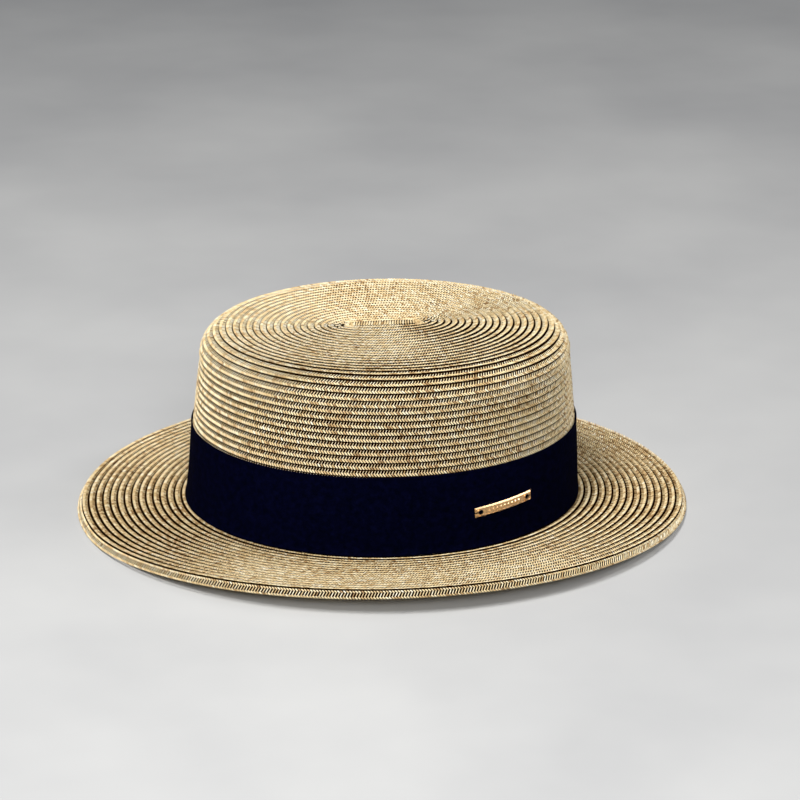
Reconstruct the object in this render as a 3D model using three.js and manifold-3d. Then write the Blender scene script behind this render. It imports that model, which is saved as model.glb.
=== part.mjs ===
// Straw boater hat: a hollow sewn-straw crown on a gently waved straw brim, with a ribbon band
// round the crown's foot and a small metal plate on the ribbon.
// Millimetres, +Z up. The hat's length runs along X, its front is at -X, and it rests on z = 0.
import * as THREE from "three";
import { mergeVertices } from "three/addons/utils/BufferGeometryUtils.js";
import Module from "manifold-3d";

const wasm = await Module();
wasm.setup();

// Crown: outside sizes at its foot, and its height from the foot to the top of the rim
const CROWN_LENGTH = 208;
const CROWN_WIDTH = 174;
const CROWN_HEIGHT = 93.5;
const CROWN_WALL = 2;
const CROWN_TAPER = 6.6; // how far the side leans in, on each side, up to the shoulder
const SHOULDER_RADIUS = 14.5;
const TIP_DIP = 1.2; // how deep the tip is sunk below the rim

// Brim: how far it reaches past the crown's foot at the ends and at the sides
const BRIM_REACH_ENDS = 58;
const BRIM_REACH_SIDES = 54;
const BRIM_WALL = 2;
const BRIM_HEIGHT = 6.5; // its upper face where it meets the crown
const EDGE_HEIGHT = 4.6; // the turned-down edge, from its lower face to its upper one
const EDGE_THICKNESS = 2.8;
const EDGE_ROUNDING = 0.8;
const COLLAR_HEIGHT = 5; // the brim's inner rows, turned up inside the crown
const LEFT_LIFT = 9; // how far the edge stands up at the middle of the hat's left side, at -Y
const RIGHT_LIFT = 2.5; // the same at the right side, at +Y
const LEFT_LIFT_START = 12; // degrees round from the ends where each side starts to rise
const RIGHT_LIFT_START = 50;

// Ribbon band and metal plate
const BAND_HEIGHT = 42;
const BAND_THICKNESS = 1;
const BAND_FOOT_GAP = 0.5; // from the brim up to the ribbon's lower edge
const PLATE_LENGTH = 35.5;
const PLATE_HEIGHT = 5.3;
const PLATE_THICKNESS = 0.9;
const PLATE_HOLE = 2.6; // diameter of the hole at each end
const PLATE_HOLE_INSET = 3.2; // from the plate's end to the middle of the hole
const PLATE_BEARING = -62; // degrees round the hat to the plate's middle, from its back at +X
const PLATE_UP = 20; // from the ribbon's lower edge to the plate's middle
const PLATE_TILT = 3.5; // degrees, its back end up

// Clearance between pieces that touch
const GAP = 0.3;

// Fineness of the faceted surfaces
const ROUND_STEPS = 48; // faces round the hat
const SHOULDER_STEPS = 5;
const HOLE_STEPS = 12;
const DRILL_SPARE = 1; // how far the drill stands out of the plate on either side
const PLATE_STEPS = 10; // along the plate's bend
const MERGE_DISTANCE = 0.0001; // corners closer than this are one
const NEARBY = 0.001; // a small turn or height, to find a surface's direction
const EASE = 0.15; // softens the start of the brim's rise

// The crown's side from its foot to the shoulder: up is a share of the side's height, lean of CROWN_TAPER.
const SIDE_ROWS = [
  { up: 0, lean: 0 },
  { up: 0.05, lean: 0.07 },
  { up: 0.15, lean: 0.15 },
  { up: 0.35, lean: 0.28 },
  { up: 0.55, lean: 0.43 },
  { up: 0.8, lean: 0.73 },
  { up: 1, lean: 1 },
];

// The sunken tip from the rim to the middle: inward is a share of the way in, dip of TIP_DIP.
const TIP_ROWS = [
  { inward: 0.1, dip: 0.12 },
  { inward: 0.24, dip: 0.4 },
  { inward: 0.4, dip: 0.65 },
  { inward: 0.6, dip: 0.85 },
  { inward: 0.8, dip: 0.96 },
  { inward: 0.95, dip: 1 },
];

// The brim from the crown's foot to its edge: out is a share of the reach, bend of the change in height.
const BRIM_ROWS = [
  { out: 0, bend: 0 },
  { out: 0.12, bend: 0.06 },
  { out: 0.3, bend: 0.22 },
  { out: 0.55, bend: 0.49 },
  { out: 0.8, bend: 0.78 },
];

// The ribbon's heights, as shares of BAND_HEIGHT, where it follows the crown's lean.
const BAND_SHARES = [0, 0.06, 0.2, 0.45, 0.72, 1];

const radians = THREE.MathUtils.degToRad;
const mix = THREE.MathUtils.lerp;

const crownFoot = BRIM_HEIGHT + GAP;
const rimHeight = crownFoot + CROWN_HEIGHT;
const shoulderHeight = rimHeight - SHOULDER_RADIUS;
const bandFoot = BRIM_HEIGHT + BAND_FOOT_GAP;

// How far the crown's outer face has leant in at a height.
function leanAt(height) {
  const up = (height - crownFoot) / (shoulderHeight - crownFoot);
  if (up <= 0) return 0;
  const above = SIDE_ROWS.findIndex((row) => row.up >= up);
  if (above < 0) return CROWN_TAPER;
  const low = SIDE_ROWS[above - 1];
  const high = SIDE_ROWS[above];
  return CROWN_TAPER * mix(low.lean, high.lean, (up - low.up) / (high.up - low.up));
}

// A smooth rise from 0 at the start bearing to 1 at the middle of a side.
function rise(sine, startDegrees) {
  const start = Math.sin(radians(startDegrees));
  const t = Math.max(0, (sine - start) / (1 - start));
  return (t * t * (1 + EASE)) / (t + EASE);
}

// How far the brim's edge stands above the resting plane at an angle round the hat.
function edgeLift(angle) {
  const sine = Math.sin(angle);
  return LEFT_LIFT * rise(-sine, LEFT_LIFT_START) + RIGHT_LIFT * rise(sine, RIGHT_LIFT_START);
}

// One oval of points: grow is how far it lies outside the crown's foot at the ends and at the sides.
function oval(growEnds, growSides, heightAt) {
  const points = [];
  for (let i = 0; i < ROUND_STEPS; i++) {
    const angle = (2 * Math.PI * i) / ROUND_STEPS;
    const x = (CROWN_LENGTH / 2 + growEnds) * Math.cos(angle);
    const y = (CROWN_WIDTH / 2 + growSides) * Math.sin(angle);
    points.push(new THREE.Vector3(x, y, heightAt(angle)));
  }
  return points;
}

// A level oval that lies the same distance outside or, if negative, inside the crown's foot all round.
const levelOval = (grow, height) => oval(grow, grow, () => height);

// A closed skin over ovals, each joined to the next. It ends in two caps, or joins its last oval to its first.
function skin(ovals, capped) {
  const points = ovals.flat();
  const faces = [];
  const seams = capped ? ovals.length - 1 : ovals.length;
  for (let r = 0; r < seams; r++) {
    const here = r * ROUND_STEPS;
    const next = ((r + 1) % ovals.length) * ROUND_STEPS;
    for (let i = 0; i < ROUND_STEPS; i++) {
      const j = (i + 1) % ROUND_STEPS;
      faces.push(here + i, next + i, next + j);
      faces.push(here + i, next + j, here + j);
    }
  }
  if (capped) {
    const last = (ovals.length - 1) * ROUND_STEPS;
    const middles = [ovals[0], ovals[ovals.length - 1]].map((ring) => {
      points.push(new THREE.Vector3(0, 0, ring[0].z));
      return points.length - 1;
    });
    for (let i = 0; i < ROUND_STEPS; i++) {
      const j = (i + 1) % ROUND_STEPS;
      faces.push(middles[0], i, j);
      faces.push(middles[1], last + j, last + i);
    }
  }
  const geometry = new THREE.BufferGeometry().setFromPoints(points);
  geometry.setIndex(faces);
  return geometry;
}

// The crown's face at a depth inside its outer one, from the middle of the tip down to the shoulder's foot.
function tipAndShoulder(depth) {
  const rimGrow = -CROWN_TAPER - SHOULDER_RADIUS;
  const toMiddle = CROWN_WIDTH / 2 + rimGrow;
  const ovals = TIP_ROWS.map((row) =>
    levelOval(rimGrow - row.inward * toMiddle, rimHeight - row.dip * TIP_DIP - depth),
  ).reverse();
  const radius = SHOULDER_RADIUS - depth;
  for (let i = 0; i <= SHOULDER_STEPS; i++) {
    const turn = (Math.PI / 2) * (i / SHOULDER_STEPS);
    const grow = rimGrow + radius * Math.sin(turn);
    ovals.push(levelOval(grow, shoulderHeight + radius * Math.cos(turn)));
  }
  return ovals;
}

function crownGeometry() {
  const sides = [0, CROWN_WALL].map((depth) =>
    SIDE_ROWS.slice(0, -1).map((row) => {
      const height = mix(crownFoot, shoulderHeight, row.up);
      return levelOval(-row.lean * CROWN_TAPER - depth, height);
    }),
  );
  const outer = [...tipAndShoulder(0), ...sides[0].reverse()];
  const inner = [...sides[1], ...tipAndShoulder(CROWN_WALL).reverse()];
  return skin([...outer, ...inner], true);
}

function brimGeometry() {
  const edgeTop = (angle) => EDGE_HEIGHT + edgeLift(angle);
  const face = (row, depth) => (angle) => mix(BRIM_HEIGHT, edgeTop(angle), row.bend) - depth;
  const nearEdge = (inset, heightAt) => oval(BRIM_REACH_ENDS - inset, BRIM_REACH_SIDES - inset, heightAt);
  const collarOuter = -CROWN_WALL - GAP;
  const collarInner = collarOuter - BRIM_WALL;
  const collarTop = BRIM_HEIGHT + COLLAR_HEIGHT;
  const collarLean = leanAt(collarTop);
  const upper = BRIM_ROWS.map((row) =>
    oval(row.out * BRIM_REACH_ENDS, row.out * BRIM_REACH_SIDES, face(row, 0)),
  );
  const lower = BRIM_ROWS.map((row) =>
    oval(row.out * BRIM_REACH_ENDS, row.out * BRIM_REACH_SIDES, face(row, BRIM_WALL)),
  );
  return skin(
    [
      levelOval(collarInner - collarLean, collarTop),
      levelOval(collarOuter - collarLean, collarTop),
      levelOval(collarOuter, BRIM_HEIGHT),
      ...upper,
      nearEdge(EDGE_ROUNDING, edgeTop),
      nearEdge(0, (angle) => edgeTop(angle) - EDGE_ROUNDING),
      nearEdge(0, (angle) => edgeLift(angle) + EDGE_ROUNDING),
      nearEdge(EDGE_ROUNDING, edgeLift),
      nearEdge(EDGE_THICKNESS, edgeLift),
      nearEdge(EDGE_THICKNESS, (angle) => edgeTop(angle) - BRIM_WALL),
      ...lower.reverse(),
      levelOval(collarInner, BRIM_HEIGHT - BRIM_WALL),
    ],
    false,
  );
}

function bandGeometry() {
  const heights = BAND_SHARES.map((share) => bandFoot + share * BAND_HEIGHT);
  const inner = heights.map((height) => levelOval(GAP - leanAt(height), height));
  const outer = heights.map((height) => levelOval(GAP + BAND_THICKNESS - leanAt(height), height));
  return skin([...inner, ...outer.reverse()], false);
}

// The ribbon's outer face at an angle round the hat and a height.
function ribbonFace(angle, height) {
  const grow = GAP + BAND_THICKNESS - leanAt(height);
  const x = (CROWN_LENGTH / 2 + grow) * Math.cos(angle);
  const y = (CROWN_WIDTH / 2 + grow) * Math.sin(angle);
  return new THREE.Vector3(x, y, height);
}

// A geometry as a solid that can be cut: only its places, with shared corners merged.
function solid(geometry) {
  geometry.deleteAttribute("normal");
  geometry.deleteAttribute("uv");
  const merged = mergeVertices(geometry, MERGE_DISTANCE);
  const vertProperties = merged.attributes.position.array;
  const triVerts = new Uint32Array(merged.index.array);
  return new wasm.Manifold(new wasm.Mesh({ numProp: 3, vertProperties, triVerts }));
}

// A thin bar bent to the ribbon's curve, with a hole drilled square to the ribbon at each end.
function plateGeometry() {
  const bearing = radians(PLATE_BEARING);
  const tilt = radians(PLATE_TILT);
  const middle = bandFoot + PLATE_UP;
  const speed = ribbonFace(bearing + NEARBY, middle).distanceTo(ribbonFace(bearing, middle)) / NEARBY;

  // A point of the flat bar, laid on the ribbon: along, up and out are its place on the bar.
  function laid(along, up, out) {
    const angle = bearing + (along * Math.cos(tilt) - up * Math.sin(tilt)) / speed;
    const height = middle + along * Math.sin(tilt) + up * Math.cos(tilt);
    const foot = ribbonFace(angle, height);
    const round = ribbonFace(angle + NEARBY, height).sub(foot);
    const rising = ribbonFace(angle, height + NEARBY).sub(foot);
    const outward = round.cross(rising).normalize();
    return foot.addScaledVector(outward, out);
  }

  const bar = new THREE.BoxGeometry(PLATE_LENGTH, PLATE_HEIGHT, PLATE_THICKNESS, PLATE_STEPS, 1, 1);
  const place = bar.attributes.position;
  for (let i = 0; i < place.count; i++) {
    const out = GAP + PLATE_THICKNESS / 2 + place.getZ(i);
    const point = laid(place.getX(i), place.getY(i), out);
    place.setXYZ(i, point.x, point.y, point.z);
  }
  let cut = solid(bar);
  for (const end of [-1, 1]) {
    const along = end * (PLATE_LENGTH / 2 - PLATE_HOLE_INSET);
    const depth = PLATE_THICKNESS + 2 * DRILL_SPARE;
    const drill = new THREE.CylinderGeometry(PLATE_HOLE / 2, PLATE_HOLE / 2, depth, HOLE_STEPS);
    const middleOfHole = laid(along, 0, GAP + PLATE_THICKNESS / 2);
    const outward = middleOfHole.clone().sub(laid(along, 0, 0)).normalize();
    const turn = new THREE.Quaternion().setFromUnitVectors(new THREE.Vector3(0, 1, 0), outward);
    drill.applyQuaternion(turn);
    drill.translate(middleOfHole.x, middleOfHole.y, middleOfHole.z);
    cut = cut.subtract(solid(drill));
  }
  const made = cut.getMesh();
  const geometry = new THREE.BufferGeometry();
  geometry.setAttribute("position", new THREE.BufferAttribute(made.vertProperties, 3));
  geometry.setIndex(new THREE.BufferAttribute(made.triVerts, 1));
  return geometry;
}

function piece(name, geometry, look) {
  const mesh = new THREE.Mesh(geometry, new THREE.MeshStandardMaterial(look));
  mesh.name = name;
  return mesh;
}

const straw = { color: 0xd9c48f, roughness: 0.75, metalness: 0 };
const ribbon = { color: 0x14182a, roughness: 0.8, metalness: 0 };
const platedMetal = { color: 0xc99a72, roughness: 0.3, metalness: 1 };

const hat = new THREE.Group();
hat.add(piece("crown", crownGeometry(), straw));
hat.add(piece("brim", brimGeometry(), straw));
hat.add(piece("hat_band", bandGeometry(), ribbon));
hat.add(piece("metal_plate", plateGeometry(), platedMetal));

export default hat;
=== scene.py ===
"""Straw boater hat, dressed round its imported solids. Blender 4.5, metres, +Z up, the hat's front at -X."""
import math
from functools import partial

import bmesh
import bpy
import numpy as np
from mathutils import Matrix, Vector


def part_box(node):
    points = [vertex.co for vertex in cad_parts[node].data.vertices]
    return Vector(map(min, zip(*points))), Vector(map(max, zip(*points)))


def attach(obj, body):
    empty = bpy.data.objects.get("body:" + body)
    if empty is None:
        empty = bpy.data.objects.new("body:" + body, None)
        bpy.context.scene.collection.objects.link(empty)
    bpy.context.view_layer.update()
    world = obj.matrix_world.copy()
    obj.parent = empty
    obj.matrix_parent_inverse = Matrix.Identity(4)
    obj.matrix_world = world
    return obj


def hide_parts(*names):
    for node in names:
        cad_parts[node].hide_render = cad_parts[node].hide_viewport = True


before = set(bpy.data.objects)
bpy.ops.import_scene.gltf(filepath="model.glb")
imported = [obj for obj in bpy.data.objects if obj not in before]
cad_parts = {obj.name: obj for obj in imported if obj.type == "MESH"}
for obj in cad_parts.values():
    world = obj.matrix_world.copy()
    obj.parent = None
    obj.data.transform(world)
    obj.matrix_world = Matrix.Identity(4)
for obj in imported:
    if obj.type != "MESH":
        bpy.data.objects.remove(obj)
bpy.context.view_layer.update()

MM = 0.001
FULL = 2 * math.pi  # once round the hat: angle 0 is at its back end, and a quarter turn on is its right side
rng = np.random.default_rng(7)

# Sizes read from the solids
crown_low, crown_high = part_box("crown")
brim_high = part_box("brim")[1]
band_low, band_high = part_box("hat_band")
HALF_LENGTH = crown_high.x  # the crown's foot
HALF_WIDTH = crown_high.y
FOOT = crown_low.z
RIM = crown_high.z
REACH_ENDS = brim_high.x - HALF_LENGTH
REACH_SIDES = brim_high.y - HALF_WIDTH
RIBBON_FOOT = band_low.z
RIBBON_TOP = band_high.z
RIBBON_PROUD = band_high.x - HALF_LENGTH  # its outer face outside the crown's, at the foot

# The crown's form, as in its solid
TAPER = 6.6 * MM
SHOULDER = 14.5 * MM
TIP_DIP = 1.2 * MM
TIP_SHIFT = 5.0 * MM  # the first rows were laid a little to the right of the tip's middle
SIDE_ROWS = [  # share of the side's height, share of the taper
    (0.0, 0.0), (0.05, 0.07), (0.15, 0.15), (0.35, 0.28), (0.55, 0.43), (0.8, 0.73), (1.0, 1.0),
]
TIP_ROWS = [  # share of the way from the rim to the middle, share of the dip
    (0.0, 0.0), (0.1, 0.12), (0.24, 0.4), (0.4, 0.65), (0.6, 0.85), (0.8, 0.96), (1.0, 1.0),
]
DIP_SMOOTHED = 9  # over how many points of the tip's line its dip is smoothed
LINE_POINTS = 80  # on the tip's line and on the side's
SHOULDER_POINTS = 30

# The brim's form, as in its solid
BRIM_FACE = 6.5 * MM
BRIM_ROWS = [  # share of the reach, share of the change in height
    (0.0, 0.0), (0.12, 0.06), (0.3, 0.22), (0.55, 0.49), (0.8, 0.78), (1.0, 1.0),
]
EDGE_HEIGHT = 4.6 * MM
LEFT_LIFT = 9.0 * MM
RIGHT_LIFT = 2.5 * MM
LEFT_LIFT_START = math.radians(12)
RIGHT_LIFT_START = math.radians(50)
EASE = 0.15
BRIM_TURN = 1.2 * MM  # the radius at which the brim turns down into its edge
BRIM_FLAT = REACH_SIDES - BRIM_TURN  # where the turn starts
BRIM_END = BRIM_FLAT + BRIM_TURN * math.pi / 2 + EDGE_HEIGHT - BRIM_TURN  # the edge's lower rim

# The sewn braid
ROW = 3.6 * MM  # from one row to the next
STITCH = 1.5 * MM  # from one straw to the next, along a row
STEP = 0.8 * MM  # how far a row's free edge stands over the next row
BACKING = 0.8 * MM  # how deep the gaps between the straws are
SHELL = 0.9 * MM  # the braid's hidden plies
EDGE_BACKING = 1.25 * BACKING
EDGE_SHELL = 1.6 * SHELL
OPEN_LEAST = 0.02 * MM  # how far the braid opens under the row above
OPEN_MOST = 0.9 * MM
FLAT_DEPTH = 0.15  # where the braid lies shut, its straws step down by this share of their depth,
FLAT_HEIGHT = 0.45  # stand up by this share of their thickness
FLAT_WIDTH = 1.35  # and are pressed out to this share of their width
FOLD_SUNK = 0.75 * MM  # how far the straws round the first row's fold lie below the tip
FOLD_OUT = 1.9 * MM  # and how far out from the fold's end their middles lie
FOLD_TURN = 1.9  # how far round the fold's end they go to either side, in radians
MIDDLE = 0.02 * MM  # how near the tip's middle line its plies start, before they are merged there
MOVE_START = 0.18  # where in a turn the brim's braid moves over by a row, behind the crown
MOVE_TURN = 0.14
MOVE_LAST = 0.3  # where its last turn ends, tucked in beside the row that moves over
WIDTH_SPREAD = 0.07  # how much the straws differ from each other in width,
LIFT_SPREAD = 0.05 * MM  # in how far they stand out
TONE_SPREAD = 0.22  # and in tone
CROWN_STEPS = 160  # of the plies' grids, round the hat
BRIM_STEPS = 200
FOLD_POINTS = 40
TURN_POINTS = 240  # on a wound row's line, to a turn
PIECE_TRIANGLES = 190000  # a piece of the rows stays under this

# The ribbon
RIBBON_HEIGHT = RIBBON_TOP - RIBBON_FOOT
RIBBON_THICK = 0.6 * MM
RIBBON_RIM = 1.1 * MM  # the woven edge, a little thicker than the rest
RIBBON_RIM_STANDS = 0.12 * MM
RIBBON_FLARE = 0.9 * MM  # how far it stands out at its foot in front
RIBBON_RIPPLE = 0.14 * MM
RIBBON_STEPS = 420
LAP_START = math.radians(70)  # the ribbon's ends overlap on the right side
LAP_TURN = math.radians(9)
LAP_STEP = math.radians(1.2)  # the turn in which the upper end climbs over the lower one
LAP_GAP = 0.1 * MM

# The metal plate, its first values as in its solid
PLATE_LENGTH = 35.5 * MM
PLATE_HEIGHT = 5.3 * MM
PLATE_THICK = 0.9 * MM
PLATE_BEARING = math.radians(-62)
PLATE_UP = 20 * MM
PLATE_TILT = math.radians(3.5)
PLATE_HOLE = 2.6 * MM
PLATE_HOLE_INSET = 3.2 * MM
CLEAR = 0.3 * MM
PLATE_RIM = 0.85 * MM
PLATE_ROUND = 0.6 * MM  # how far its front edges are bevelled
PLATE_SUNK = 0.4 * MM
PLATE_SLIT = 0.7 * MM  # from each hole out to the plate's end
PLATE_COLLAR = 0.45 * MM  # the raised ring round each hole
PLATE_COLLAR_SUNK = 0.05 * MM  # and how far it stays behind the plate's front
PLATE_BENDS = 25  # strips along the plate, so that it bends smoothly
LOZENGES = 9
LOZENGE_PITCH = 2.3 * MM
LOZENGE_FOOT = 1.05 * MM  # half its width at the foot and at the top
LOZENGE_TOP = 0.3 * MM
LOZENGE_DEPTH = 0.6 * MM
LOZENGE_TALL = 1.25

# The floor and the lights
FLOOR_SIZE = 12
FLOOR_BELOW = 0.2 * MM
SKY_STRENGTH = 0.15
LIGHTS = [  # name, place, what it points at, length and width, power, colour, the way its length lies
    ("key light", (-0.5, -0.45, 1.45), (0, 0, 0.05), (0.4, 0.4), 28.5, "#FFFAF2", (1, 0, 0)),
    ("front light", (-0.1, -1.4, 0.9), (0, 0, 0.05), (0.5, 0.5), 15, "#FFFCF6", (1, 0, 0)),
    ("strip light", (1.12, -0.135, 1.22), (0.045, -0.09, 0.03), (1.3, 0.16), 7, "#FFF8F0",
     (0.56, 0.83, -0.48)),
]

# The camera, found from the outlines in the photograph of 800 x 800 pixels
VIEW_AZIMUTH = math.radians(-10.5)
VIEW_ELEVATION = math.radians(22.06)
VIEW_DISTANCE = 1.6
VIEW_AIM = Vector((0, 0, 0.05))
VIEW_YAW = math.radians(0.29)
VIEW_PITCH = math.radians(0.24)
VIEW_ROLL = math.radians(0.74)
VIEW_FOCAL_PX = 3016.9
PHOTO_PX = 800
SENSOR = 36.0


def linear(hex_colour):
    """An sRGB hex colour as linear red, green, blue and alpha."""
    parts = [int(hex_colour[i:i + 2], 16) / 255 for i in (1, 3, 5)]
    return [p / 12.92 if p <= 0.04045 else ((p + 0.055) / 1.055) ** 2.4 for p in parts] + [1.0]


def node(tree, kind, settings=None, **links):
    """Adds a node with its settings and links.

    A setting goes on a property or on a socket, by its name or number, or it is a colour ramp's stops. A link
    names a socket, or i and its number, and what feeds it: a socket, or a node by its first output.
    """
    made = tree.nodes.new(kind)
    for key, value in (settings or {}).items():
        if key == "stops":
            elements = made.color_ramp.elements
            while len(elements) < len(value):
                elements.new(0.5)
            for element, (place, colour) in zip(elements, value):
                element.position = place
                element.color = linear(colour)
        elif isinstance(key, int) or key in made.inputs:
            made.inputs[key].default_value = value
        else:
            setattr(made, key, value)
    for key, source in links.items():
        number = key[1:]
        socket = made.inputs[int(number) if number.isdigit() else key.replace("_", " ")]
        tree.links.new(getattr(source, "outputs", [source])[0], socket)
    return made


def material(name):
    made = bpy.data.materials.new(name)
    made.use_nodes = True
    made.node_tree.nodes.clear()
    return made, made.node_tree


def straw_material():
    """Bleached wheat straw, split flat and plaited: cream to tan by straws, with a dull gloss."""
    patches, fibres, fibre_depth = 22 * MM, 0.35 * MM, 0.08 * MM
    made, tree = material("plaited wheat straw")
    place = node(tree, "ShaderNodeTexCoord").outputs["Object"]
    # the tone attribute: each straw's own tone, darkened by painted shade where the braid is open
    tone_and_painted_shade = node(tree, "ShaderNodeAttribute", {"attribute_name": "tone"}).outputs["Fac"]
    patch = node(tree, "ShaderNodeTexNoise", {"Scale": 1 / patches, "Detail": 2.0}, Vector=place)
    patch = node(tree, "ShaderNodeMapRange", {1: 0.3, 2: 0.7, 3: -0.07, 4: 0.07}, Value=patch)
    tone = node(tree, "ShaderNodeMath", {"operation": "ADD", "use_clamp": True}, i0=tone_and_painted_shade, i1=patch)
    stops = [(0.0, "#9C7A4E"), (0.15, "#C6A674"), (0.45, "#E6D0A2"), (0.8, "#F5E8C6"), (1.0, "#FDF7E2")]
    colour = node(tree, "ShaderNodeValToRGB", {"stops": stops}, Fac=tone)
    fibre = node(tree, "ShaderNodeTexNoise", {"Scale": 1 / fibres, "Detail": 2.0, "Roughness": 0.6},
                 Vector=place)
    shade = node(tree, "ShaderNodeMapRange", {1: 0.3, 2: 0.7, 3: 0.66, 4: 1.12}, Value=fibre)
    tint = node(tree, "ShaderNodeMix", {"data_type": "RGBA", "blend_type": "MULTIPLY", "Factor": 1.0},
                i6=colour, i7=shade)
    rough = node(tree, "ShaderNodeMapRange", {1: 0.3, 2: 0.7, 3: 0.42, 4: 0.62}, Value=fibre)
    bump = node(tree, "ShaderNodeBump", {"Strength": 0.25, "Distance": fibre_depth}, Height=fibre)
    shader = node(tree, "ShaderNodeBsdfPrincipled", {"IOR": 1.5}, Base_Color=tint.outputs[2],
                  Roughness=rough, Normal=bump)
    node(tree, "ShaderNodeOutputMaterial", Surface=shader)
    return made


def gap_shade_material():
    """The under side of the plait seen down between the straws: the same straw, painted near-black as its
    shade.
    """
    blotches = 1.2 * MM
    made, tree = material("straw in the gaps")
    place = node(tree, "ShaderNodeTexCoord").outputs["Object"]
    noise = node(tree, "ShaderNodeTexNoise", {"Scale": 1 / blotches, "Detail": 2.0}, Vector=place)
    # painted shade: near-black brown standing in for the shadow down between the straws
    colour = node(tree, "ShaderNodeValToRGB", {"stops": [(0.3, "#100804"), (0.7, "#2A1A0C")]}, Fac=noise)
    shader = node(tree, "ShaderNodeBsdfPrincipled",
                  {"Roughness": 0.95, "IOR": 1.05, "Specular IOR Level": 0.0}, Base_Color=colour)
    node(tree, "ShaderNodeOutputMaterial", Surface=shader)
    return made


def inner_material():
    """The plait's inner face, seen only from below: flat herringbone straws, drawn by bump and painted seam
    shade.
    """
    slanting, seam, blotches, straw_depth = 2.2, 0.16, 2.5 * MM, 0.4 * MM
    made, tree = material("inner face of the plait")
    place = node(tree, "ShaderNodeTexCoord").outputs["UV"]
    parts = node(tree, "ShaderNodeSeparateXYZ", Vector=place)
    along = node(tree, "ShaderNodeMath", {"operation": "DIVIDE", 1: STITCH}, i0=parts.outputs[0])
    across = node(tree, "ShaderNodeMath", {"operation": "DIVIDE", 1: ROW}, i0=parts.outputs[1])
    fold = node(tree, "ShaderNodeMath", {"operation": "PINGPONG", 1: 0.5}, i0=across)
    slant = node(tree, "ShaderNodeMath", {"operation": "MULTIPLY", 1: slanting}, i0=fold)
    phase = node(tree, "ShaderNodeMath", {"operation": "ADD"}, i0=along, i1=slant)
    straw = node(tree, "ShaderNodeMath", {"operation": "PINGPONG", 1: 0.5}, i0=phase)
    height = node(tree, "ShaderNodeMapRange", {1: 0.0, 2: seam, 3: 0.0, 4: 1.0}, Value=straw)
    objects = node(tree, "ShaderNodeTexCoord").outputs["Object"]
    noise = node(tree, "ShaderNodeTexNoise", {"Scale": 1 / blotches, "Detail": 3.0}, Vector=objects)
    pale = node(tree, "ShaderNodeValToRGB", {"stops": [(0.3, "#C9AC74"), (0.7, "#E6D2A2")]}, Fac=noise)
    # painted shade: the seams between the inner straws are darkened to brown
    tint = node(tree, "ShaderNodeMix", {"data_type": "RGBA", 6: linear("#6B4E2A")}, i0=height, i7=pale)
    bump = node(tree, "ShaderNodeBump", {"Strength": 0.7, "Distance": straw_depth}, Height=height)
    shader = node(tree, "ShaderNodeBsdfPrincipled", {"Roughness": 0.6}, Base_Color=tint.outputs[2],
                  Normal=bump)
    node(tree, "ShaderNodeOutputMaterial", Surface=shader)
    return made


def ribbon_material():
    """Plain-woven cotton and rayon ribbon dyed navy: almost black, with a faint sheen and a fine weave."""
    thread = 0.55 * MM  # drawn a little coarser than a real 0.3 mm, so that it shows
    slubs, thread_depth = 3 * MM, 0.12 * MM
    made, tree = material("navy woven ribbon")
    place = node(tree, "ShaderNodeTexCoord").outputs["UV"]
    parts = node(tree, "ShaderNodeSeparateXYZ", Vector=place)
    waves = []
    for axis in (0, 1):
        turn = node(tree, "ShaderNodeMath", {"operation": "MULTIPLY", 1: math.pi / thread},
                    i0=parts.outputs[axis])
        waves.append(node(tree, "ShaderNodeMath", {"operation": "SINE"}, i0=turn))
    weave = node(tree, "ShaderNodeMath", {"operation": "MULTIPLY"}, i0=waves[0], i1=waves[1])
    objects = node(tree, "ShaderNodeTexCoord").outputs["Object"]
    slub = node(tree, "ShaderNodeTexNoise", {"Scale": 1 / slubs, "Detail": 4.0, "Roughness": 0.7},
                Vector=objects)
    mixed = node(tree, "ShaderNodeMath", {"operation": "MULTIPLY_ADD", 1: 0.12}, i0=weave, i2=slub)
    stops = [(0.3, "#01020B"), (0.5, "#020315"), (0.75, "#050722")]
    colour = node(tree, "ShaderNodeValToRGB", {"stops": stops}, Fac=mixed)
    bump = node(tree, "ShaderNodeBump", {"Strength": 0.5, "Distance": thread_depth}, Height=weave)
    shader = node(tree, "ShaderNodeBsdfPrincipled",
                  {"Roughness": 0.85, "IOR": 1.1, "Specular IOR Level": 0.1}, Base_Color=colour, Normal=bump)
    node(tree, "ShaderNodeOutputMaterial", Surface=shader)
    return made


def plate_material():
    """Rose-gold plated brass, brushed along its length: bright rims and a softly streaked face."""
    streaks, streak_depth = 0.25 * MM, 0.05 * MM
    made, tree = material("rose gold plated brass")
    place = node(tree, "ShaderNodeTexCoord").outputs["Object"]
    stretch = node(tree, "ShaderNodeMapping", {"Scale": (0.15, 0.15, 1.0)}, Vector=place)
    streak = node(tree, "ShaderNodeTexNoise", {"Scale": 1 / streaks, "Detail": 3.0}, Vector=stretch)
    colour = node(tree, "ShaderNodeValToRGB", {"stops": [(0.3, "#D2AC80"), (0.7, "#ECCDA6")]}, Fac=streak)
    rough = node(tree, "ShaderNodeMapRange", {1: 0.3, 2: 0.7, 3: 0.22, 4: 0.38}, Value=streak)
    bump = node(tree, "ShaderNodeBump", {"Strength": 0.2, "Distance": streak_depth}, Height=streak)
    shader = node(tree, "ShaderNodeBsdfPrincipled", {"Metallic": 1.0}, Base_Color=colour, Roughness=rough,
                  Normal=bump)
    node(tree, "ShaderNodeOutputMaterial", Surface=shader)
    return made


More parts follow.
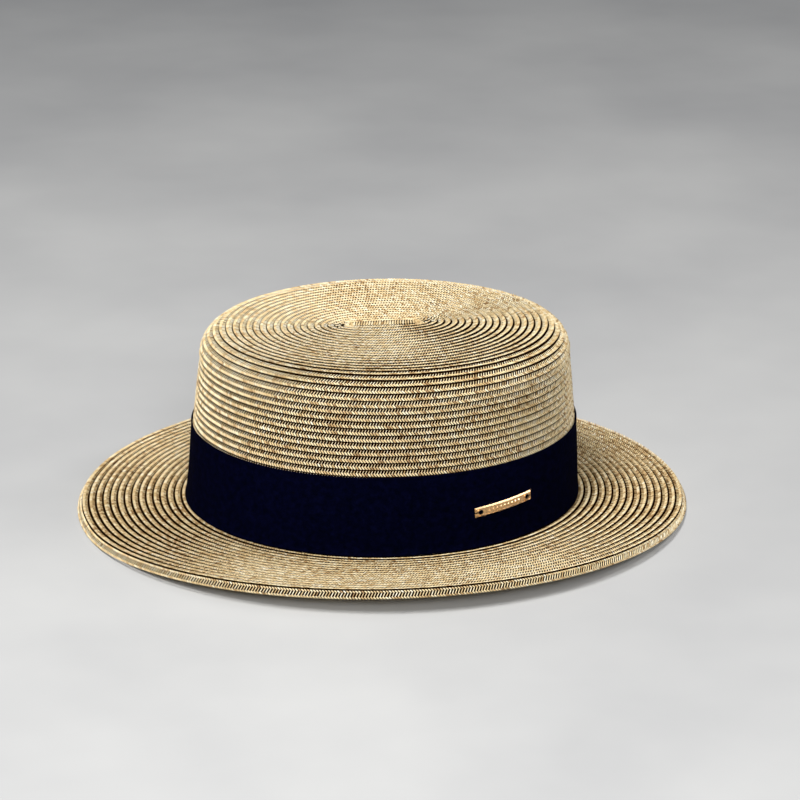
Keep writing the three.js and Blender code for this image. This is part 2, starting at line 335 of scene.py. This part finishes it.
def floor_material():
    """Pale grey floor, matt and faintly speckled."""
    made, tree = material("pale studio floor")
    speckle = node(tree, "ShaderNodeTexNoise", {"Scale": 60.0, "Detail": 4.0})
    colour = node(tree, "ShaderNodeValToRGB", {"stops": [(0.3, "#A3A6AB"), (0.7, "#B3B6BA")]}, Fac=speckle)
    shader = node(tree, "ShaderNodeBsdfPrincipled", {"Roughness": 0.9}, Base_Color=colour)
    node(tree, "ShaderNodeOutputMaterial", Surface=shader)
    return made


def table(rows):
    """The two columns of a table as arrays."""
    return np.array([r[0] for r in rows]), np.array([r[1] for r in rows])


def between(value, low, high):
    """0 up to a low value, 1 from a high one, and even in between."""
    return np.clip((value - low) / (high - low), 0, 1)


def blend(least, most, share):
    return least + (most - least) * share


def line_length(points):
    """The length along a line of points, up to each of them."""
    return np.concatenate([[0], np.cumsum(np.linalg.norm(np.diff(points, axis=0), axis=1))])


def oval(half_length, half_width, angle, height):
    return np.stack([half_length * np.cos(angle), half_width * np.sin(angle), height], -1)


def mean_radius(grow=0.0):
    """The radius that stands for the crown's oval, or for one outside it, in lengths round the hat."""
    return math.sqrt(((HALF_LENGTH + grow) ** 2 + (HALF_WIDTH + grow) ** 2) / 2)


# The crown's outer face as a line from the middle of the tip down to the foot: how far it lies outside the
# foot's oval, its height, and its length so far
shoulder_height = RIM - SHOULDER
tip_half_width = HALF_WIDTH - TAPER - SHOULDER


def crown_line():
    inward = np.linspace(1, 0, LINE_POINTS)
    dip = np.interp(inward, *table(TIP_ROWS))
    kernel = np.ones(DIP_SMOOTHED) / DIP_SMOOTHED
    dip = np.convolve(np.pad(dip, DIP_SMOOTHED // 2, mode="edge"), kernel, mode="valid")
    tip = np.stack([-TAPER - SHOULDER - inward * tip_half_width, RIM - TIP_DIP * dip], 1)
    turn = np.linspace(0, math.pi / 2, SHOULDER_POINTS)[1:]
    shoulder = np.stack([-TAPER - SHOULDER + SHOULDER * np.sin(turn),
                         shoulder_height + SHOULDER * np.cos(turn)], 1)
    up = np.linspace(1, 0, LINE_POINTS)[1:]
    lean = np.interp(up, *table(SIDE_ROWS))
    side = np.stack([-TAPER * lean, FOOT + (shoulder_height - FOOT) * up], 1)
    line = np.concatenate([tip, shoulder, side])
    return line[:, 0], line[:, 1], line_length(line)


LINE_GROW, LINE_HEIGHT, LINE_LENGTH = crown_line()
CROWN_LINE = LINE_LENGTH[-1]


def crown_face(down, angle):
    """The crown's outer face, at a length down from the tip's middle and an angle round the hat."""
    grow = np.interp(down, LINE_LENGTH, LINE_GROW)
    points = oval(HALF_LENGTH + grow, HALF_WIDTH + grow, angle, np.interp(down, LINE_LENGTH, LINE_HEIGHT))
    points[..., 1] += TIP_SHIFT * np.clip(1 - down / tip_half_width, 0, 1)
    return points


def fold_face(middle, out, angle):
    """The tip round one end of the first row's fold, a little below the rows that are wound round it."""
    height = np.full_like(angle, RIM - TIP_DIP - FOLD_SUNK)
    return oval(out, out, angle, height) + (middle, TIP_SHIFT, 0)


def rise(sine, start):
    share = np.clip((sine - math.sin(start)) / (1 - math.sin(start)), 0, None)
    return share ** 2 * (1 + EASE) / (share + EASE)


def edge_lift(angle):
    """How far the brim's edge stands above the table."""
    left = LEFT_LIFT * rise(-np.sin(angle), LEFT_LIFT_START)
    return left + RIGHT_LIFT * rise(np.sin(angle), RIGHT_LIFT_START)


def brim_face(out, angle):
    """The brim's upper face, at a length out from the crown's foot, and past its turn down over the edge."""
    share = np.clip(out, None, BRIM_FLAT) / REACH_SIDES
    bend = np.interp(share, *table(BRIM_ROWS))
    height = BRIM_FACE + (EDGE_HEIGHT + edge_lift(angle) - BRIM_FACE) * bend
    over = np.clip(out - BRIM_FLAT, 0, None)
    turn = np.clip(over / BRIM_TURN, 0, math.pi / 2)
    fall = over - BRIM_TURN * turn + BRIM_TURN * (1 - np.cos(turn))
    extra = BRIM_TURN * np.sin(turn)
    return oval(HALF_LENGTH + share * REACH_ENDS + extra, HALF_WIDTH + share * REACH_SIDES + extra, angle,
                height - fall)


def crown_lean(height):
    up = (height - FOOT) / (shoulder_height - FOOT)
    return TAPER * np.interp(up, *table(SIDE_ROWS))


def ribbon_face(down, angle):
    """The ribbon's outer face, at a length down from its upper edge: it flares in front and ripples."""
    height = RIBBON_TOP - down
    share = np.clip(down / RIBBON_HEIGHT, 0, 1)
    front = (0.5 - 0.5 * np.cos(angle)) ** 4
    flare = RIBBON_FLARE * front * share ** 3
    ripple = RIBBON_RIPPLE * np.sin(7 * angle + 0.6) * np.sin(3 * angle + 1.9) * (0.35 + share ** 2)
    past = np.clip((angle - LAP_START - FULL) / LAP_STEP + 1, 0, 1)
    grow = RIBBON_PROUD - crown_lean(height) + flare + ripple + (RIBBON_THICK + LAP_GAP) * past
    return oval(HALF_LENGTH + grow, HALF_WIDTH + grow, angle, height)


def frames(face, across, angle):
    """Points of a face with the directions along a row, across it and out of it."""
    small, small_turn = 0.3 * MM, 0.001
    points = face(across, angle)
    along = face(across, angle + small_turn) - face(across, angle - small_turn)
    down = face(across + small, angle) - face(across - small, angle)
    along /= np.linalg.norm(along, axis=-1, keepdims=True)
    out = np.cross(down, along)
    out /= np.linalg.norm(out, axis=-1, keepdims=True)
    return points, along, np.cross(along, out), out


# How open the braid lies at a place, from 0 for shut to 1. The shares are matched to how its dark lines come
# and go round the hat in the photograph.
# Where the braid is open, more of the near-black plies show under each row's edge as painted shade lines
def crown_opening(down, angle):
    """Open all down the side, and on the tip towards the back end most of all."""
    left = 0.7 * between(-np.sin(angle), 0.1, 0.8) * between(down, 40 * MM, 64 * MM)
    back = between(np.cos(angle), 0.1, 0.8) * between(np.sin(angle), 0.75, 0.3)
    front = 0.5 * between(-np.cos(angle), 0.2, 0.9)
    right = 0.5 * between(np.sin(angle), 0.1, 0.7)
    side = between(down, tip_half_width, tip_half_width + 2 * SHOULDER)
    return np.maximum.reduce([left, back, front, right, side])


def brim_opening(out, angle):
    """Open round the hat's two ends, on the right and close to the ribbon, and shut along the left side."""
    ends = np.maximum(between(np.cos(angle), 0.45, 0.92), between(-np.cos(angle), 0.6, 0.97))
    right = 0.85 * between(np.sin(angle), 0.1, 0.7)
    inner = np.maximum(between(-out, -6 * MM, -4.5 * MM), 0.6 * between(-out, -0.6 * REACH_SIDES, 0))
    return np.maximum.reduce([ends, right, inner])


def all_open(across, angle):
    return np.ones_like(angle)


def all_shut(across, angle):
    return np.zeros_like(angle)


def only(made):
    """Makes one object the selected and active one."""
    bpy.ops.object.select_all(action="DESELECT")
    made.select_set(True)
    bpy.context.view_layer.objects.active = made


def finish_piece(made, look=None):
    """Puts a piece on the hat's one body, and gives it a material unless it has its own."""
    if look:
        made.data.materials.clear()
        made.data.materials.append(look)
    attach(made, "root")


def model_straw(top, bottom, width, thick, back, tone, shade=0.0):
    """One flat straw of the plait, from its top end to its bottom one: a bar with a raised, narrower back.

    Sizes are in millimetres, and ends lie along the row, across it towards the free edge, and out of the face.
    A straw with a shade is darker by it where the braid is open, as painted shade for the shadow between
    the rows, and its top end stands further from the row above.
    """
    bpy.ops.object.select_all(action="DESELECT")
    bpy.ops.mesh.primitive_cube_add(size=1)
    made = bpy.context.object
    bpy.ops.object.mode_set(mode="EDIT")
    bpy.ops.mesh.bisect(plane_co=(0, 0, 0), plane_no=(0, 1, 0))
    bpy.ops.mesh.select_all(action="SELECT")
    bpy.ops.mesh.quads_convert_to_tris()
    bpy.ops.object.mode_set(mode="OBJECT")
    top = Vector([MM * part for part in top])
    bottom = Vector([MM * part for part in bottom])
    for v in made.data.vertices:
        share = v.co.y + 0.5
        arch = 1 - (2 * share - 1) ** 2  # a straw is widest and highest in its middle
        upper = v.co.z > 0
        wide = MM * width * (back if upper else 1.0) * (0.82 + 0.18 * arch)
        lift = MM * thick * (0.72 + 0.28 * arch) if upper else 0.0
        v.co = top.lerp(bottom, share) + Vector((v.co.x * wide, 0, lift))
    points = np.array([v.co for v in made.data.vertices])
    faces = np.array([list(p.vertices) for p in made.data.polygons])
    bpy.data.objects.remove(made)
    return {"points": points, "faces": faces, "tone": tone, "shade": shade}


# One stitch of the plait: a long straw leaning one way, and a short thick one turning back at the free edge
# the long straws' shade is painted shade, laid on where the braid is open, more of it on the brim
LONG_STRAW = model_straw((0.62, -0.1, -0.65), (-0.58, 2.45, -0.2), 0.52, 0.36, 0.72, 0.8, shade=0.15)
BRIM_LONG_STRAW = model_straw((0.62, -0.1, -0.65), (-0.58, 2.45, -0.2), 0.5, 0.32, 0.72, 0.62, shade=0.4)
SHORT_STRAW = model_straw((-0.66, 2.1, -0.35), (0.42, 3.5, 0.0), 1.08, 0.42, 0.62, 0.45)
MIDDLE_STRAW = model_straw((0.5, -2.3, -0.1), (-0.5, 2.3, -0.1), 0.85, 0.5, 0.7, 0.5)  # of the first row

# One stitch of the braid that wraps the brim's edge: turned back at its upper and its lower rim
EDGE_STRAWS = [
    model_straw((-0.35, -0.1, -0.7), (0.6, 0.9, -0.6), 1.05, 0.5, 0.65, 0.5),
    model_straw((0.6, 0.7, -0.8), (-0.6, 3.2, -0.8), 0.5, 0.4, 0.65, 0.6),
    model_straw((-0.5, 3.0, -0.6), (0.45, 4.0, -0.7), 1.1, 0.5, 0.65, 0.45),
]


def lay_rows(name, face, line, straws, opening_at):
    """Lays stitches along a wound row and joins them into pieces of a manageable size.

    line is the row's line as (length across, angle) pairs, close together.
    """
    length = line_length(face(line[:, 0] + 0.5 * ROW, line[:, 1]))  # stitches are counted along its middle
    count = int(length[-1] / STITCH)
    at = (np.arange(count) + 0.5) * length[-1] / count  # spread evenly, so that a closed row shows no gap
    across = np.interp(at, length, line[:, 0])
    angle = np.interp(at, length, line[:, 1])
    places, along, down, out = frames(face, across, angle)
    open_share = opening_at(across, angle)
    opening = blend(OPEN_LEAST, OPEN_MOST, open_share)
    depth, height, spread = (blend(flat, 1, open_share) for flat in (FLAT_DEPTH, FLAT_HEIGHT, FLAT_WIDTH))
    groups = math.ceil(count * sum(len(straw["faces"]) for straw in straws) / PIECE_TRIANGLES)
    for g, index in enumerate(np.array_split(np.arange(count), groups)):
        n = len(index)
        all_points, all_faces, all_tones, base = [], [], [], 0
        for straw in straws:
            points = straw["points"]
            wide = (rng.normal(1, WIDTH_SPREAD, n) * spread[index])[:, None]
            lift = rng.normal(0, LIFT_SPREAD, n)[:, None]
            local = np.repeat(points[None], n, axis=0)
            if straw["shade"]:
                low = points[points[:, 1].argmax(), :2]
                local[..., :2] = low - (low - local[..., :2]) * (1 - opening[index, None, None] / low[1])
            local[..., 2] *= np.where(local[..., 2] < 0, depth[index, None], height[index, None])
            placed = (places[index, None] + (local[..., 0:1] * wide[..., None]) * along[index, None]
                      + local[..., 1:2] * down[index, None]
                      + (local[..., 2:3] + lift[..., None]) * out[index, None])
            all_points.append(placed.reshape(-1, 3))
            order = np.arange(n)[:, None, None] * len(points) + straw["faces"][None, :, ::-1] + base
            all_faces.append(order.reshape(-1, 3))
            # painted shade: straws where the braid lies open are darkened by their shade
            tone = np.clip(rng.normal(straw["tone"] - straw["shade"] * open_share[index], TONE_SPREAD), 0, 1)
            all_tones.append(np.repeat(tone, len(points)))
            base += n * len(points)
        mesh = bpy.data.meshes.new(f"{name}_{g + 1}" if groups > 1 else name)
        mesh.from_pydata(np.concatenate(all_points).tolist(), [], np.concatenate(all_faces).tolist())
        mesh.update()
        mesh.attributes.new("tone", "FLOAT", "POINT").data.foreach_set("value", np.concatenate(all_tones))
        piece = bpy.data.objects.new(mesh.name, mesh)
        bpy.context.scene.collection.objects.link(piece)
        finish_piece(piece, straw_look)


def winding(first, last, turns):
    """A row wound evenly from one length across to another, in a number of turns."""
    turn = np.linspace(0, turns, int(turns * TURN_POINTS))
    return np.stack([first + (last - first) * turn / turns, turn * FULL], 1)


def moved_over(turn):
    """Turns counted so that the braid moves over by a row only behind the crown, and is level elsewhere."""
    return np.floor(turn) + np.clip((turn % 1 - MOVE_START) / MOVE_TURN, 0, 1)


def level_winding(first, pitch, turns):
    """A row wound from a length across, level but for where it moves over, and closed by its last turn."""
    turn = np.linspace(MOVE_START, turns + MOVE_LAST, int(turns * TURN_POINTS))
    return np.stack([first + pitch * np.minimum(moved_over(turn), turns), turn * FULL], 1)


def stepped(first, count, pitch):
    """Stations for the plies: each row starts deep, under the row before, and ends high at its free edge."""
    made = []
    for start in first + pitch * np.arange(count):
        made += [(start + 0.02 * pitch, BACKING + 0.45 * STEP), (start + 0.98 * pitch, BACKING)]
    return made


def model_sheet(name, looks, face, stations, around, angles, thick, limits, pitch=0.0, joined=True,
                moving=np.positive):
    """A grid shaped to a face, between two angles and two limits across, and given a thickness inwards.

    stations are (length across, depth below the face) pairs, and pitch is how far they move in one turn.
    looks are the materials of its outer and its inner face.
    """
    bpy.ops.object.select_all(action="DESELECT")
    bpy.ops.mesh.primitive_grid_add(x_subdivisions=around, y_subdivisions=len(stations) - 1, size=2)
    made = bpy.context.object
    made.name = made.data.name = name
    mesh = made.data
    for look in looks:  # given before the wall, so that its inner face can take the second one
        mesh.materials.append(look)
    co = np.array([v.co for v in mesh.vertices])
    column = np.rint((co[:, 0] + 1) / 2 * around).astype(int)
    row = np.rint((co[:, 1] + 1) / 2 * (len(stations) - 1)).astype(int)
    station = np.array(stations)[row]
    share = column / around
    angle = blend(*angles, share)
    across = np.clip(station[:, 0] + pitch * moving(share), *limits)
    points, _, _, out = frames(face, across, angle)
    points = points - out * station[:, 1:2]
    uv = mesh.uv_layers.new(name="plait")
    round_length = (angles[1] - angles[0]) * mean_radius()
    corner = np.array([loop.vertex_index for loop in mesh.loops])
    uv.data.foreach_set("uv", np.stack([share[corner] * round_length, across[corner]], 1).ravel())
    mesh.vertices.foreach_set("co", points.ravel())
    mesh.update()
    facing = sum(p.normal.dot(Vector(out[p.vertices[0]])) for p in mesh.polygons)
    if facing < 0:
        mesh.flip_normals()
    only(made)
    if joined:
        bpy.ops.object.mode_set(mode="EDIT")
        bpy.ops.mesh.select_all(action="SELECT")
        bpy.ops.mesh.remove_doubles(threshold=2.2 * MIDDLE)
        bpy.ops.object.mode_set(mode="OBJECT")
    wall = made.modifiers.new("wall", "SOLIDIFY")
    wall.thickness = thick
    wall.offset = -1
    wall.material_offset = wall.material_offset_rim = 1
    bpy.ops.object.modifier_apply(modifier="wall")
    return made


straw_look = straw_material()
gap_shade_look = gap_shade_material()
inner_look = inner_material()
ribbon_look = ribbon_material()
plate_look = plate_material()
# the plies' outer face is the painted shade of the gaps, and their inner face is the plait's underside
ply_looks = (gap_shade_look, inner_look)

# Crown: the wound rows from the middle of the tip to just under the ribbon's upper edge
ribbon_line = float(np.interp(RIBBON_TOP, LINE_HEIGHT[::-1], LINE_LENGTH[::-1]))
crown_start = 0.12 * ROW
crown_end = ribbon_line + 1.5 * ROW
crown_turns = (crown_end - crown_start) / ROW
half_turn = np.linspace(-0.15, 1.08, 70)  # it reaches a little past the fold at both its ends
first_row = np.stack([0.05 * MM + 0.5 * ROW * np.clip(half_turn, 0, None), math.pi * (1 + half_turn)], 1)
lay_rows("crown_first_row", crown_face, first_row, [MIDDLE_STRAW], crown_opening)
fold_half = HALF_LENGTH - HALF_WIDTH  # from the tip's middle to where the first row folds back
for end, middle, turned in (("back", fold_half, 0.0), ("front", -fold_half, math.pi)):
    fan = turned + np.linspace(-FOLD_TURN, FOLD_TURN, FOLD_POINTS)
    fold_line = np.stack([np.full_like(fan, FOLD_OUT), fan], 1)
    lay_rows(f"crown_fold_{end}", partial(fold_face, middle), fold_line, [MIDDLE_STRAW], all_shut)
lay_rows("crown_rows", crown_face, winding(crown_start, crown_end, crown_turns), [LONG_STRAW, SHORT_STRAW],
         crown_opening)
crown_stations = stepped(crown_start - 2 * ROW, round(CROWN_LINE / ROW) + 2, ROW)
crown_plies = model_sheet("crown_plies", ply_looks, crown_face, crown_stations, CROWN_STEPS, (0, FULL),
                          SHELL, (MIDDLE, CROWN_LINE), ROW)
finish_piece(crown_plies)
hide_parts("crown")

# Brim: the wound rows from under the ribbon to the turned-down edge, and the edge's own row
brim_turns = round(REACH_SIDES / ROW)
brim_start = -0.9 * ROW
brim_pitch = (BRIM_FLAT + 0.3 * MM - ROW - brim_start) / brim_turns
lay_rows("brim_rows", brim_face, level_winding(brim_start, brim_pitch, brim_turns),
         [BRIM_LONG_STRAW, SHORT_STRAW], brim_opening)
edge_line = BRIM_FLAT + 1.3 * MM
lay_rows("brim_edge_row", brim_face, winding(edge_line, edge_line, 1), EDGE_STRAWS, all_open)
brim_stations = stepped(brim_start - brim_pitch, brim_turns + 2, brim_pitch)
brim_plies = model_sheet("brim_plies", ply_looks, brim_face, brim_stations, BRIM_STEPS, (0, FULL), SHELL,
                         (brim_start, BRIM_FLAT), brim_pitch, moving=moved_over)
finish_piece(brim_plies)
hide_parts("brim")
edge_shares = (-0.2, 0, 0.15, 0.3, 0.45, 0.7, 0.98)  # of the way from the turn's start to the lower rim
edge_stations = [(share * (BRIM_END - BRIM_FLAT) + BRIM_FLAT, EDGE_BACKING) for share in edge_shares]
edge_plies = model_sheet("brim_edge_plies", ply_looks, brim_face, edge_stations, BRIM_STEPS, (0, FULL),
                         EDGE_SHELL, (0, BRIM_END))
finish_piece(edge_plies)

# Ribbon: once round the crown with its ends lapped, woven rims along both edges
rim = RIBBON_RIM / RIBBON_HEIGHT
rim_shares = [0, 0.5 * rim, 0.85 * rim, 1.15 * rim]
ribbon_shares = rim_shares + list(np.linspace(0.08, 0.92, 12)) + [1 - share for share in rim_shares[::-1]]
ribbon_stations = [(share * RIBBON_HEIGHT, -RIBBON_RIM_STANDS if min(share, 1 - share) < rim else 0.0)
                   for share in ribbon_shares]
ribbon = model_sheet("ribbon", (ribbon_look,), ribbon_face, ribbon_stations, RIBBON_STEPS,
                     (LAP_START, LAP_START + FULL + LAP_TURN), RIBBON_THICK, (0, RIBBON_HEIGHT),
                     joined=False)
finish_piece(ribbon)
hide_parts("hat_band")


# Metal plate: modelled flat, then bent to the ribbon
def on_ribbon(along, up, out):
    """Bends a place on the flat plate to the ribbon: along and up from its middle, out from the ribbon."""
    middle = RIBBON_HEIGHT - PLATE_UP
    step = 0.001
    here = ribbon_face(np.array(middle), np.array(PLATE_BEARING))
    next_to = ribbon_face(np.array(middle), np.array(PLATE_BEARING + step))
    speed = np.linalg.norm(next_to - here) / step
    angle = PLATE_BEARING + (along * math.cos(PLATE_TILT) - up * math.sin(PLATE_TILT)) / speed
    down = middle - along * math.sin(PLATE_TILT) - up * math.cos(PLATE_TILT)
    points, _, _, outward = frames(ribbon_face, down, angle)
    return points + outward * (out + CLEAR)[..., None]


def select_where(made, kind, wanted):
    """Selects the edges or the faces that a test picks, in edit mode."""
    shape = bmesh.from_edit_mesh(made.data)
    for part in getattr(shape, kind):
        part.select = wanted(part)
    bmesh.update_edit_mesh(made.data)


def cut_or_join(target, tool, operation):
    only(target)
    step = target.modifiers.new("step", "BOOLEAN")
    step.operation = operation
    step.object = tool
    bpy.ops.object.modifier_apply(modifier="step")
    bpy.data.objects.remove(tool)


def model_plate():
    """A bar with a sunken face, raised rims, a ringed hole slit to each end and a row of plain lozenges."""
    half_thick = PLATE_THICK / 2
    through = 4 * PLATE_THICK
    bpy.ops.object.select_all(action="DESELECT")
    bpy.ops.mesh.primitive_cube_add(size=1, location=(0, 0, half_thick),
                                    scale=(PLATE_LENGTH, PLATE_HEIGHT, PLATE_THICK))
    made = bpy.context.object
    made.name = made.data.name = "rose_gold_plate"
    bpy.ops.object.transform_apply(location=True, rotation=True, scale=True)
    bpy.ops.object.mode_set(mode="EDIT")
    bpy.ops.mesh.select_all(action="DESELECT")
    bpy.ops.mesh.select_mode(type="EDGE")
    select_where(made, "edges", lambda edge: all(v.co.z > 0.9 * PLATE_THICK for v in edge.verts))
    bpy.ops.mesh.bevel(offset=PLATE_ROUND, segments=1, affect="EDGES")
    select_where(made, "faces", lambda face: face.normal.z > 0.999)
    bpy.ops.mesh.inset(thickness=PLATE_RIM - PLATE_ROUND, use_boundary=True)
    bpy.ops.transform.translate(value=(0, 0, -PLATE_SUNK))
    bpy.ops.object.mode_set(mode="OBJECT")
    hole_at = PLATE_LENGTH / 2 - PLATE_HOLE_INSET
    hole_radius = PLATE_HOLE / 2
    collar_depth = PLATE_THICK - 2 * PLATE_COLLAR_SUNK
    for side in (-1, 1):
        middle = (side * hole_at, 0, half_thick)
        bpy.ops.mesh.primitive_cylinder_add(vertices=32, radius=hole_radius + PLATE_COLLAR,
                                            depth=collar_depth, location=middle)
        cut_or_join(made, bpy.context.object, "UNION")
        bpy.ops.mesh.primitive_cylinder_add(vertices=32, radius=hole_radius, depth=through, location=middle)
        cut_or_join(made, bpy.context.object, "DIFFERENCE")
        slit_middle = (side * (hole_at + PLATE_HOLE_INSET), 0, half_thick)
        bpy.ops.mesh.primitive_cube_add(size=1, location=slit_middle,
                                        scale=(2 * PLATE_HOLE_INSET, PLATE_SLIT, through))
        cut_or_join(made, bpy.context.object, "DIFFERENCE")
    lozenges = []
    for i in range(LOZENGES):
        along = (i - LOZENGES // 2) * LOZENGE_PITCH
        bpy.ops.mesh.primitive_cone_add(vertices=4, radius1=LOZENGE_FOOT, radius2=LOZENGE_TOP,
                                        depth=LOZENGE_DEPTH, location=(along, 0, PLATE_THICK - PLATE_SUNK),
                                        scale=(1, LOZENGE_TALL, 1))
        bpy.ops.object.transform_apply(location=True, rotation=True, scale=True)
        lozenges.append(bpy.context.object)
    only(made)
    for lozenge in lozenges:
        lozenge.select_set(True)
    bpy.ops.object.join()
    bpy.ops.object.mode_set(mode="EDIT")
    for cut in np.linspace(-PLATE_LENGTH / 2, PLATE_LENGTH / 2, PLATE_BENDS + 1)[1:-1]:
        bpy.ops.mesh.select_all(action="SELECT")
        bpy.ops.mesh.bisect(plane_co=(cut, 0, 0), plane_no=(1, 0, 0))
    bpy.ops.object.mode_set(mode="OBJECT")
    co = np.array([v.co for v in made.data.vertices])
    made.data.vertices.foreach_set("co", on_ribbon(co[:, 0], co[:, 1], co[:, 2]).ravel())
    made.data.update()
    bpy.ops.object.shade_smooth_by_angle(angle=math.radians(30))
    return made


plate = model_plate()
finish_piece(plate, plate_look)
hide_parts("metal_plate")

# The floor, the lights and the camera
bpy.ops.object.select_all(action="DESELECT")
bpy.ops.mesh.primitive_plane_add(size=FLOOR_SIZE, location=(0, 0, -FLOOR_BELOW))
floor = bpy.context.object
floor.name = "floor"
floor.data.materials.append(floor_material())

world = bpy.data.worlds.new("soft studio")
bpy.context.scene.world = world
world.use_nodes = True
background = world.node_tree.nodes["Background"]
background.inputs["Color"].default_value = linear("#E9EEF5")
background.inputs["Strength"].default_value = SKY_STRENGTH

for name, place, aim, size, power, colour, lying in LIGHTS:
    lamp = bpy.data.lights.new(name, "AREA")
    lamp.shape = "RECTANGLE"
    lamp.size, lamp.size_y = size
    lamp.energy = power
    lamp.color = linear(colour)[:3]
    light = bpy.data.objects.new(name, lamp)
    back = (Vector(place) - Vector(aim)).normalized()
    across = Vector(lying).cross(back).normalized()
    light.location = place
    light.rotation_euler = Matrix((across.cross(back) * -1, across * -1, back)).transposed().to_euler()
    bpy.context.scene.collection.objects.link(light)

camera_data = bpy.data.cameras.new("camera")
camera_data.sensor_fit = "HORIZONTAL"
camera_data.sensor_width = SENSOR
camera_data.lens = VIEW_FOCAL_PX / PHOTO_PX * SENSOR
camera = bpy.data.objects.new("camera", camera_data)
bpy.context.scene.collection.objects.link(camera)
bpy.context.scene.camera = camera
level = math.cos(VIEW_ELEVATION)
away = Vector((math.sin(VIEW_AZIMUTH) * level, -math.cos(VIEW_AZIMUTH) * level, math.sin(VIEW_ELEVATION)))
camera.location = VIEW_AIM + VIEW_DISTANCE * away
forward = -away
right = forward.cross(Vector((0, 0, 1))).normalized()
up = right.cross(forward)
forward = (forward + math.tan(VIEW_YAW) * right + math.tan(VIEW_PITCH) * up).normalized()
right = forward.cross(up).normalized()
up = right.cross(forward)
side_axis = math.cos(VIEW_ROLL) * right + math.sin(VIEW_ROLL) * up
up_axis = -math.sin(VIEW_ROLL) * right + math.cos(VIEW_ROLL) * up
camera.rotation_euler = Matrix((side_axis, up_axis, -forward)).transposed().to_euler()

bpy.context.scene.view_settings.view_transform = "Standard"
